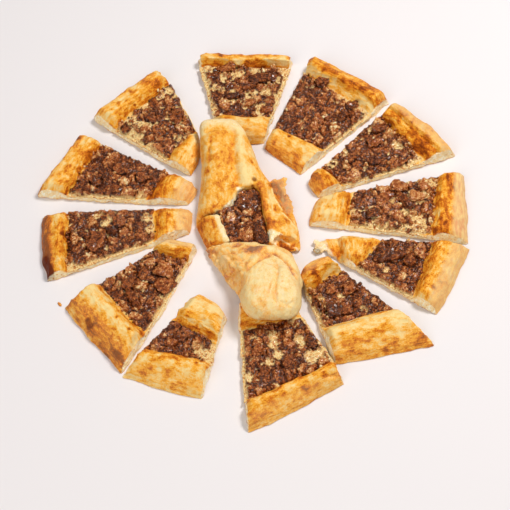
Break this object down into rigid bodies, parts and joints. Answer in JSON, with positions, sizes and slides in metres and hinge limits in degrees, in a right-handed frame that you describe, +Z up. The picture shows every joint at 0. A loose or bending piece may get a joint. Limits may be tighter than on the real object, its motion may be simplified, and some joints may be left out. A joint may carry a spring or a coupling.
{
  "type": "turkish pide",
  "caption": "Turkish pide with a minced filling, cut crosswise into wedge slices that lie in a ring around its two uncut ends.",
  "frame": {"origin": "middle of the underside of the whole ring's bounding box, on the surface it lies on", "axes": "+Z up, +Y from the lower end's bulb towards the upper end's tip, +X to the right when seen from the -Y side"},
  "size_m": [0.4154, 0.4498, 0.0401],
  "materials": {
    "golden_dough": "baked flatbread, golden crust with browned ridges and pale crumb at the cuts",
    "pale_dough": "pale baked dough, puffed and smooth with fine wrinkles",
    "filling": "baked minced meat filling, brown, moist and glistening"
  },
  "bodies": {
    "root": {"slice_01_dough": "golden_dough", "slice_01_filling": "filling", "slice_02_dough": "golden_dough", "slice_02_filling": "filling", "slice_03_dough": "golden_dough", "slice_03_filling": "filling", "slice_04_dough": "golden_dough", "slice_04_filling": "filling", "slice_05_dough": "golden_dough", "slice_05_filling": "filling", "slice_06_dough": "golden_dough", "slice_06_filling": "filling", "slice_07_dough": "golden_dough", "slice_07_filling": "filling", "slice_08_dough": "golden_dough", "slice_08_filling": "filling", "slice_09_dough": "golden_dough", "slice_09_filling": "filling", "slice_10_dough": "golden_dough", "slice_10_filling": "filling", "slice_11_dough": "golden_dough", "slice_11_filling": "filling", "slice_12_dough": "golden_dough", "slice_12_filling": "filling", "upper_end_dough": "golden_dough", "upper_end_filling": "filling", "lower_end_dough": "pale_dough"}
  },
  "joints": []
}
